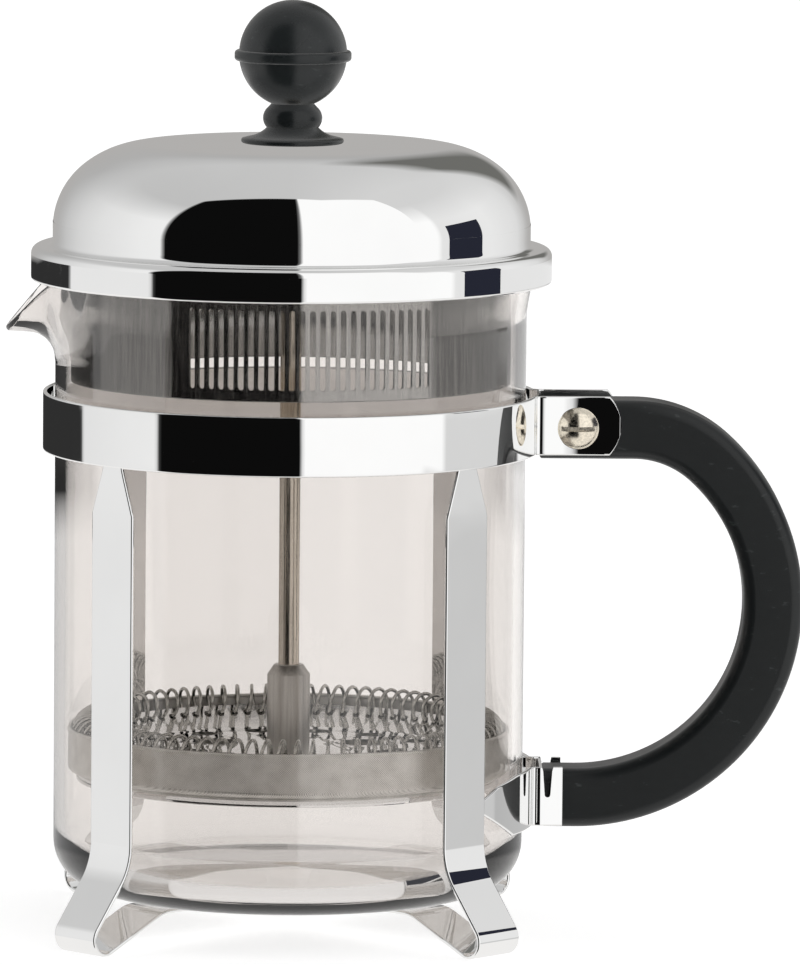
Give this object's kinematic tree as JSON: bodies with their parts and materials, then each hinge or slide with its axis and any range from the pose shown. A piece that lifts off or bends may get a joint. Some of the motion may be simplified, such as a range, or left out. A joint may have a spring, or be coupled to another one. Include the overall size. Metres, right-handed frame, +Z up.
{
  "type": "french press",
  "caption": "Plunger coffee maker: a glass beaker with a pouring spout in a chromed strip frame with a black side handle, a domed lid and a knob on a sliding filter rod.",
  "frame": {"origin": "on the glass beaker's axis, in the plane of the four feet", "axes": "+Z up along the plunger rod, +X towards the handle, -X towards the pouring spout"},
  "size_m": [0.1536, 0.0994, 0.1776],
  "materials": {
    "chrome": "polished chrome plate, mirror bright",
    "brushed_steel": "turned and brushed stainless steel",
    "steel_mesh": "fine woven stainless steel wire",
    "spring_steel": "bright drawn spring wire",
    "nickel_screw": "nickel-plated brass, polished",
    "black_plastic": "fine satin moulded plastic",
    "brass": "turned brass",
    "glass": "clear borosilicate glass"
  },
  "bodies": {
    "frame": {"frame_band": "chrome", "leg_strip_a": "chrome", "leg_strip_b": "chrome", "centre_rivet": "brushed_steel", "handle": "black_plastic", "handle_screw": "nickel_screw", "handle_nut": "nickel_screw", "lower_bracket": "chrome"},
    "beaker": {"beaker": "glass"},
    "bush": {"rod_bush": "brushed_steel"},
    "lid": {"lid_dome": "chrome", "lid_strainer": "brushed_steel", "lid_inner_plate": "brushed_steel"},
    "plunger": {"knob": "black_plastic", "knob_insert": "brass", "plunger_rod": "brushed_steel", "coupling_nut": "brushed_steel", "spiral_plate": "chrome", "coil_spring": "spring_steel", "mesh_filter": "steel_mesh", "cross_plate": "chrome", "cross_plate_stud": "brushed_steel"}
  },
  "joints": [
    {"name": "beaker_lift", "type": "slide", "parent": "frame", "child": "beaker", "axis": [0, 0, 1], "range_m": [0, 0.11]},
    {"name": "lid_lift", "type": "slide", "parent": "beaker", "child": "bush", "axis": [0, 0, 1], "range_m": [0, 0.115]},
    {"name": "lid_turn", "type": "hinge", "parent": "bush", "child": "lid", "pos_m": [0, 0, 0.1276], "axis": [0, 0, 1], "continuous": true},
    {"name": "plunger_travel", "type": "slide", "parent": "bush", "child": "plunger", "axis": [0, 0, 1], "range_m": [0, 0.066]}
  ]
}
